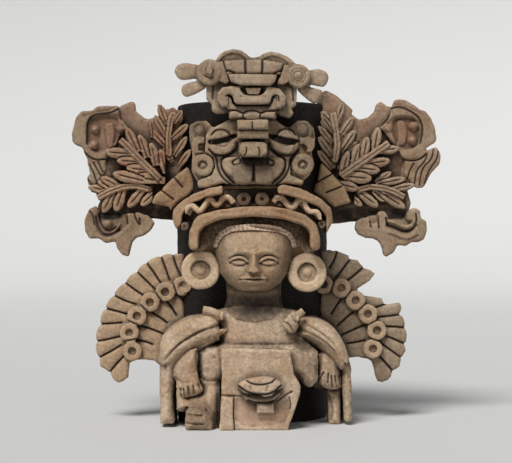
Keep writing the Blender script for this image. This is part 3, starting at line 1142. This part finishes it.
clay("left_wing_panel", "wing", voxel=2.1, edge=6, fall=3, melt=16,
    dark=[area(xy(96,203, 160,205, 185,210, 185,228, 92,230), 5.0)],
    marks=[cut(xy(145,119, 150,128, 152,140), 2.0, 1.2), cut(xy(128,176, 140,182, 152,184), 2.5, 2.0)])
clay("right_wing_panel", "wing", voxel=2.1, edge=6, fall=3, melt=16,
    dark=[area(xy(328,208, 355,206, 412,206, 414,228, 330,226), 5.0)],
    marks=[cut(xy(358,121, 357,131, 354,139), 2.0, 1.2)])
clay("left_upper_jaw", "wing", "jaw", voxel=1.1, edge=6, fall=3, melt=8, flow=50,
    plates=[(xy(88,163, 104,156, 112,176, 106,187, 95,189, 90,180), 60.5, 64)],
    red=[area(xy(90,118, 118,114, 124,122, 123,136, 117,147, 104,151, 92,152, 88,144), 3.0, 0.4)],
    marks=[cut(xy(119.5,105.5, 120,115.3, 123,120.5, 129,127), 0.8, 6.0),
    cut(xy(118,109, 111,113, 100,114, 92.5,115.5, 88.5,120, 87,126, 87,144), 1.1, 3.0),
    cut(xy(117,106, 108,111, 98,111.5, 84,115.5), 1.6, 1.8),
    sink(xy(90,117, 117,113, 124,121, 124,135, 118,146, 104,151, 92,152, 88,145, 87.5,125), 4.5, 2.0),
    dome((95, 129.5), 4.8, 5.0), dome((93.7, 145), 4.8, 5.0), dome((120.5, 129.5), 4.0, 4.5),
    lift(xy(104,124, 112,122.5, 114.5,130, 114,138, 112,147, 107,147.5, 106.5,137), 4.0, 1.0),
    ring((95, 129.5), 5.4, 0.7, 2.0), ring((93.7, 145), 5.4, 0.7, 2.0),
    cut(xy(84,152, 90,157.6, 97,160.4, 105,159), 0.9, 4.0), *cuts([xy(89.7,164.7, 94,174, 97.8,185.3),
    xy(93.5,162.5, 98,171, 102,177.7), xy(87,177.7, 90,183, 94.5,187.4), xy(98,161.5, 103,172)], 0.7, 3.5)])
clay("right_upper_jaw", "wing", "jaw", voxel=1.1, edge=6, fall=3, melt=8, flow=50,
    plates=[(xy(402,163, 416,160, 420,182, 412,188, 403,185, 400,175), 60.5, 64)],
    red=[area(xy(386,124, 394,118, 414,118, 420,128, 420,140, 414,148, 400,151, 394,140), 3.0, 0.4)],
    marks=[cut(xy(389.5,105, 389.8,114, 387,121, 378,127.5), 0.8, 6.0),
    cut(xy(390,109, 397,106.8, 404,107.8, 413,112.5, 420,119, 422.5,127, 422,135, 420,143), 1.1, 3.0),
    cut(xy(391,106.5, 399,104.5, 410,108.5, 421,113), 1.6, 1.8),
    sink(xy(384,124, 392,118, 404,116, 415,118, 420,128, 421,138, 416,147, 404,152, 396,149, 394,135), 4.5, 2.0),
    dome((388.5, 128), 4.5, 4.5), dome((413.5, 126.5), 5.0, 5.0), dome((412.5, 141), 5.0, 5.0),
    lift(xy(396,120, 405,121, 407,133, 405,145, 397,146, 399,133), 4.0, 1.0), ring((413.5, 126.5), 5.6, 0.7, 2.0),
    ring((412.5, 141), 5.6, 0.7, 2.0), cut(xy(401,158.5, 410,161, 419,160, 427,154), 0.9, 4.0),
    *cuts([xy(414,163.6, 410,170, 407.4,179), xy(427,156, 424,163, 416.5,170, 414.5,184), xy(433.5,149.5,
    432,159.5, 422,168, 419.4,185.5), xy(438.5,151, 437,160, 429,170, 424.5,184)], 0.7, 3.5)])
clay("left_lower_jaw", "wing", "jaw", voxel=1.1, edge=6, fall=3.5, melt=8, flow=50,
    plates=[(xy(94,214, 131,214, 130,229, 122,234, 115,236, 105,237, 98,232), 60.5, 65),
    (xy(102,222, 105,219, 111,219.5, 113,224, 109,227.5, 104,226.5), 60.5, 71)],
    coils=[(xy(97.6,215, 98.6,224, 103.6,231, 111,232.6, 117.4,229, 120,223), 3.0, 68.6)],
    dark=[area(xy(97,210, 124,210, 121,220, 97,220), 2.0),
    stroke(xy(96.5,219, 97.5,226, 101.5,232.5, 107,234.6, 115,232.5, 119,229), 1.8)],
    marks=[cut(xy(95.8,217, 96.8,225.7, 100.4,233.4, 106.5,236.4, 115.7,234, 119.3,230.3), 1.5, 6.5),
    cut(xy(99.5,217, 101,225, 105,230.5, 111,231, 116,227), 0.8, 3.0), dome((107.5, 224.5), 4.2, 4.0),
    cut(xy(139.7,218.6, 139.9,224), 0.8, 5.0), cut(xy(134,212, 135.5,219, 139.5,224.5), 0.9, 3.5),
    cut(xy(126,212, 127.8,224), 0.8, 3.5), cut(xy(89.5,211, 93,215, 94.5,225), 0.8, 2.5)])
clay("right_lower_jaw", "wing", "jaw", voxel=1.1, edge=6, fall=3.5, melt=8, flow=50,
    plates=[(xy(384,220, 416,216, 419,230, 413,239, 400,239, 388,233), 60.5, 65),
    (xy(366,217, 382,213, 383,230, 366,228), 60.5, 67)],
    coils=[(xy(387,221, 393,222, 399.4,225.4, 405.4,227.6, 411.4,226.4, 414.6,221, 413,216), 4.0, 69),
    (xy(388,229, 395,231, 401.6,234.6, 409,235, 415.4,231, 419,223), 3.4, 68)],
    dark=[area(xy(388,208, 408,208, 406,220, 392,220), 2.0),
    stroke(xy(387,225.6, 393,226.7, 399,229.8, 405.4,231.4, 412,230.2, 416.6,225), 1.1),
    stroke(xy(389,233.6, 396,236, 402,239, 410,239.4, 418,235), 1.1, 0.9)],
    marks=[cut(xy(387,225.8, 393,226.9, 399,230, 405.4,231.6, 412,230.4, 416.6,225), 0.75, 5.0),
    cut(xy(370,221.5, 371,227), 0.8, 5.0), cut(xy(378,219, 379,228), 0.8, 3.0),
    cut(xy(416,214, 417,221, 414,226), 0.9, 3.0), cut(xy(386,218, 387.5,226), 0.9, 3.5)])
leaf_clay("left_upper_leaf", 66.8, xy(169,154, 169,135, 171,120, 173,115),
    [(165,121, 159,104, 3.0), (164.5,133, 154.5,115, 3.0), (165,146, 150.4,130, 3.1), (150,134, 147.2,117, 2.6),
    (171,160, 163,148, 3.0)], 3.4)

# Leaf tips that stand over the cylinder
LEFT_TIPS = [(174.5,122.5, 182.5,111, 3.0), (172.5,138, 188.4,125.4, 3.9), (175,155, 187.2,137.4, 3.7),
    (178.5,167, 191.2,150.4, 3.5)]
RIGHT_TIPS = [(331.5,168, 317.2,151.5, 3.5), (331,155, 318,138, 3.7), (331.5,142, 318.2,127, 3.5),
    (332.5,131, 321.2,116, 3.0)]
NO_RIB = xy(0,0, 1,0)  # a rib that lies far off
for side, tips, finish, lean in (("left", LEFT_TIPS, "leaf", (172, 191, 32)),
        ("right", RIGHT_TIPS, "shaded_leaf", (333, 316.5, 32))):
    clay_lump(f"{side}_leaf_tips", "wing", finish, soften=4, lean=lean,
        plates=[(leaflet_outline(tip), 60, 74) for tip in tips], marks=[leaf(NO_RIB, tips, 3.0, bare=0.0)])
leaf_clay("left_middle_leaf", 89.6, xy(121,140.3, 165,184),
    [(174,174, 172,158.5, 3.2), (165,169, 160,149.5, 3.6), (155,162, 151,143, 3.4), (146,154, 139,135, 3.4),
    (136,148, 126.5,128, 3.4), (131,154, 105,152, 3.9), (138,162, 117,160.5, 3.4), (150,171, 126.5,167.5, 3.6),
    (160,181, 136,177, 4.6), (138,179.5, 113,173.5, 4.0), (163,190, 147,188.5, 2.9)], 3.4, 1.42)
leaf_clay("left_lower_leaf", 78.8, xy(99,197, 110,191.2, 124,186.4, 136,185.8, 149,189),
    [(110,191, 88,187, 3.0), (113,188, 98,181.5, 2.8), (118,186, 101,177.5, 3.2), (111,196, 103,212.5, 3.7),
    (122,192, 115.5,211, 3.9), (141,191.5, 128,207, 3.7), (154,193, 141,205.5, 3.5), (162,190, 147.4,186.6, 2.6)],
    3.2, 1.36)
leaf_clay("right_upper_leaf", 66.8, xy(333,112, 336,130, 337.6,145, 335.5,160),
    [(333,172, 332,157, 2.6), (330,165, 316.5,150, 3.2), (341,168, 350,150, 3.2), (331,154, 321.5,135.5, 3.6),
    (346,153, 357,142, 3.4), (331,137, 317,127, 3.2), (332,131, 321,121, 3.0), (344,148, 356,130, 3.4),
    (344,131, 353.5,117, 3.2), (330,121, 321,112, 2.8), (338,119, 343.5,102, 3.2)], 3.4)
leaf_clay("right_middle_leaf", 89.6, xy(338,178, 363,161, 388,143.5),
    [(343,172, 348.4,151.5, 3.2), (330,178, 337,164, 2.6), (354,163, 359.5,144, 3.4), (364,156, 367.5,137, 3.4),
    (375,147, 378.5,127.5, 3.4), (382,150, 399,148.5, 3.2), (370,163.5, 390,160.8, 3.6),
    (360,168, 380,170.5, 3.6), (349,176.5, 371.5,179, 4.2), (340,184, 358.5,188.8, 3.6)], 3.4, 1.42)
leaf_clay("right_lower_leaf", 78.8, xy(357,190, 370,186.8, 385,188.5, 395,192, 404,197),
    [(378,181, 391,172, 3.0), (383,183, 406,178.5, 3.0), (396,188.6, 414.5,184.8, 2.8), (350,195.5, 362,206, 2.8),
    (375,192.5, 385,201, 2.8), (361,193.5, 378,206.5, 3.7), (384,194.5, 405,208, 3.8)], 3.2, 1.36)
clay("left_bow", "wing", "bow", voxel=1.3, edge=8, fall=4, melt=20,
    marks=[cut(xy(161,190, 173.5,199.5), 0.8, 5.0), cut(xy(173.5,177, 182.5,187), 0.8, 5.0),
    lift(xy(160,188, 172,198, 163,203, 152,200), 2.0, 2.5),
    lift(xy(174,176, 184,186, 188,170, 184,168), 2.0, 2.5)])
clay("right_bow", "wing", "bow", voxel=1.3, edge=8, fall=4, melt=20,
    marks=[cut(xy(316,182.5, 331.5,174.5), 0.8, 5.0), cut(xy(326,192.5, 342,186.5), 0.8, 5.0),
    lift(xy(320,182, 331,176, 341,186, 327,191), 2.0, 2.5)])


# Fans

def fan_outline(rim, rest, hub, bulge=1.3, notch=1.5):
    """The outline of a fan: its rim swells outwards between the cuts that part the feathers."""
    dots = []
    for (ax, ay), (bx, by) in zip(rim[:-1], rim[1:]):
        outward = Vector(((ax + bx) / 2 - hub[0], (ay + by) / 2 - hub[1])).normalized()
        for share, out in ((0.04, -notch), (0.17, 0.45 * bulge), (0.5, bulge), (0.83, 0.45 * bulge),
                           (0.96, -notch)):
            dots.append((ax + (bx - ax) * share + outward.x * out, ay + (by - ay) * share + outward.y * out))
    return dots + rest


def starts(lines):
    """The first point of each line."""
    return [line[0] for line in lines]


DISC_CENTRES = {"left": xy(183.5,284.5, 165.7,290.4, 150.1,301.6, 137.3,314.4, 129.2,331.5, 132.2,348.7),
    "right": xy(324.5,283, 341,288.5, 356,300.2, 368.6,313.8, 377.4,331, 371.6,348.7)}
disc_joints = {}
for side, centres in DISC_CENTRES.items():
    disc_joints[side] = []
    for (ax, ay), (bx, by) in zip(centres[:-1], centres[1:]):
        x, y, dx, dy = (ax + bx) / 2, (ay + by) / 2, (bx - ax) / 2.4, (by - ay) / 2.4
        disc_joints[side].append(cut([(x - dy, y + dx), (x + dy, y - dx)], 0.8, 4.0))

# Each cut runs from the rim of the fan to its string of discs, or from the string inwards
LEFT_HUB, RIGHT_HUB = (166, 340), (338, 340)
LEFT_FAN_CUTS = [xy(172.9,254.5, 176,266, 181,276), xy(160.8,255.7, 165,267, 169.5,280),
    xy(146.3,262.6, 153.5,272, 160.5,283), xy(136.4,271.3, 146,280.5, 155.5,290),
    xy(124.8,282.3, 134,289.5, 144,296), xy(113.5,295.1, 124,300.5, 136,304.5),
    xy(105.1,308.4, 116,311, 128,314.5), xy(99.3,324.1, 110,323.6, 122,322.7),
    xy(95.8,341.5, 107.5,339.5, 120,336.5), xy(98.7,357.7, 110,352, 121.5,345),
    xy(109.7,372.3, 116,364.5, 124,356)]
LEFT_FAN_INNER = [xy(166,300, 171.5,307, 176.4,315.4), xy(152,312.5, 160,317.5, 167.1,323),
    xy(138,325, 151,329, 163.1,334), xy(137,340, 146,342, 152.6,344.4), xy(177,293.5, 180.5,296.5, 184,300.3)]
left_fan_shape = fan_outline(starts(LEFT_FAN_CUTS[::-1]) + xy(184,253), xy(184,330, 163,363, 160,362.5, 155,359.5,
    148,356, 141,356.6, 130,361.2, 128.3,366, 128,374, 124,381, 118,383, 113,379), LEFT_HUB)
RIGHT_FAN_CUTS = [xy(336.9,251.6, 334.5,260, 329.4,267.8), xy(350.3,259.1, 343,269, 335.8,278),
    xy(363,267.8, 356,274, 347,281), xy(387,303.8, 380,306, 373,308.5), xy(401.3,314.2, 391,316, 377,317.3),
    xy(405.4,327.6, 396,327, 384,326.4), xy(405.4,344.4, 396,340, 385.5,335.8),
    xy(401.9,358.3, 391,350.5, 380,342.5), xy(393.2,371.7, 386,363.5, 378.5,355)]
RIGHT_FAN_INNER = [xy(341,299, 336,306.5, 331.1,314.2), xy(353,312, 346,318, 337.5,325.8),
    xy(364,325.3, 353,330, 341.6,335.1), xy(365,340.5, 356,342.3, 347.4,343.6), xy(325,285, 321,291, 318,297)]
right_fan_shape = xy(321,251, 330,250) + fan_outline(starts(RIGHT_FAN_CUTS[:3]), [], RIGHT_HUB)
right_fan_shape += xy(369,269.5, 375.2,273.6, 370,280.6, 357,289.5, 364,296, 367.7,298.6, 381.6,300.3)
right_fan_shape += fan_outline(xy(385.5,303) + starts(RIGHT_FAN_CUTS[4:]), xy(391,377, 383,382.7, 377.5,381.5,
    375.2,375.7, 373.5,363, 368,359, 363,358.3, 358.4,356.6, 346.8,358.3, 321,320), RIGHT_HUB)
for side, finish, outline, parting, inner in (("left", "fan", left_fan_shape, LEFT_FAN_CUTS, LEFT_FAN_INNER),
        ("right", "shaded_fan", right_fan_shape, RIGHT_FAN_CUTS, RIGHT_FAN_INNER)):
    clay(f"{side}_fan", "fan", finish, voxel=1.3, edge=7, fall=3.5, flow=6, plates=[(outline, 55, 69.6)],
        marks=feathers(parting + inner))
for side in ("left", "right"):
    clay(f"{side}_fan_discs", "fan", "disc", voxel=1.1, edge=4, fall=1.8, marks=disc_joints[side])

clay_lump("left_first_disc", "fan", "disc", soften=4, marks=[pit((183.6, 284.8), 3.3, 5.0)], lean=(180, 192, 18),
    dark=[area(round_outline((183.6, 284.8), 3.0, 12), 0.8, 0.5)],
    plates=[(round_outline((183.7, 284.8), 8.4, 20), 58, 78)])


# Stage: pale floor, soft lamps and the camera

def make_floor():
    """A pale round floor whose far rim sweeps up on every side."""
    reach, sweep, top, steps = 9.0, 3.0, 5.5, 20
    side = [(r, 0.0) for r in (0.0, 1.5, 3.5, reach - sweep)]
    side += [(reach - sweep + sweep * math.sin(turn), sweep * (1 - math.cos(turn)))
             for turn in (math.pi / 2 * step / steps for step in range(1, steps + 1))]
    mesh = spun("studio_floor", side + [(reach, top)], 96, 0.0001)
    if mesh.polygons[0].normal.z < 0:
        mesh.flip_normals()
    mesh.shade_smooth()
    material = bpy.data.materials.new("studio_floor")
    material.use_nodes = True
    surface = material.node_tree.nodes["Principled BSDF"]
    surface.inputs["Base Color"].default_value = (0.62, 0.62, 0.61, 1)
    surface.inputs["Roughness"].default_value = 0.95
    mesh.materials.append(material)
    floor = placed("studio_floor", mesh)


def make_camera():
    """A long lens at the photographer's place."""
    lens = bpy.data.cameras.new("camera")
    lens.sensor_fit = "HORIZONTAL"
    lens.sensor_width = SENSOR_WIDTH
    lens.lens = FOCAL_PIXELS * SENSOR_WIDTH / PICTURE_WIDTH
    lens.clip_end = 200
    camera = placed("camera", lens)
    camera.location = CAMERA_PLACE
    camera.rotation_euler = (math.radians(90), 0, 0)
    bpy.context.scene.camera = camera


def make_sun(name, elevation, azimuth, angle, strength):
    """A far lamp; azimuth turns from straight ahead to the viewer's right. Angles are in degrees."""
    lamp = bpy.data.lights.new(name, "SUN")
    lamp.energy = strength
    lamp.angle = math.radians(angle)
    up, turn = math.radians(elevation), math.radians(azimuth)
    toward = Vector((math.sin(turn) * math.cos(up), -math.cos(turn) * math.cos(up), math.sin(up)))
    placed(name, lamp).rotation_euler = toward.to_track_quat("Z", "Y").to_euler()


def make_lamp(name, place, aim, size, watts):
    """A square lamp at a place in metres, turned to where it aims."""
    lamp = bpy.data.lights.new(name, "AREA")
    lamp.shape = "SQUARE"
    lamp.size = size
    lamp.energy = watts
    holder = placed(name, lamp)
    holder.location = place
    holder.rotation_euler = (Vector(aim) - Vector(place)).to_track_quat("-Z", "Y").to_euler()


def make_sky(colour, strength):
    """Plain light from all round."""
    world = bpy.data.worlds.new("studio")
    bpy.context.scene.world = world
    world.use_nodes = True
    world.node_tree.nodes.clear()
    make = maker(world.node_tree)
    light = make("ShaderNodeBackground", {"Color": (*colour, 1), "Strength": strength})
    make("ShaderNodeOutputWorld", {"Surface": light.outputs[0]})


make_floor()
make_camera()
make_sun("key_lamp", elevation=50, azimuth=-24, angle=24, strength=3.1)
make_lamp("fill_lamp", place=(1.4, -2.9, 1.3), aim=(0, 0, 0.35), size=1.6, watts=6)
make_sky((0.94, 0.96, 1.0), 0.16)
bpy.context.scene.view_settings.view_transform = "Standard"

shade_hollows()
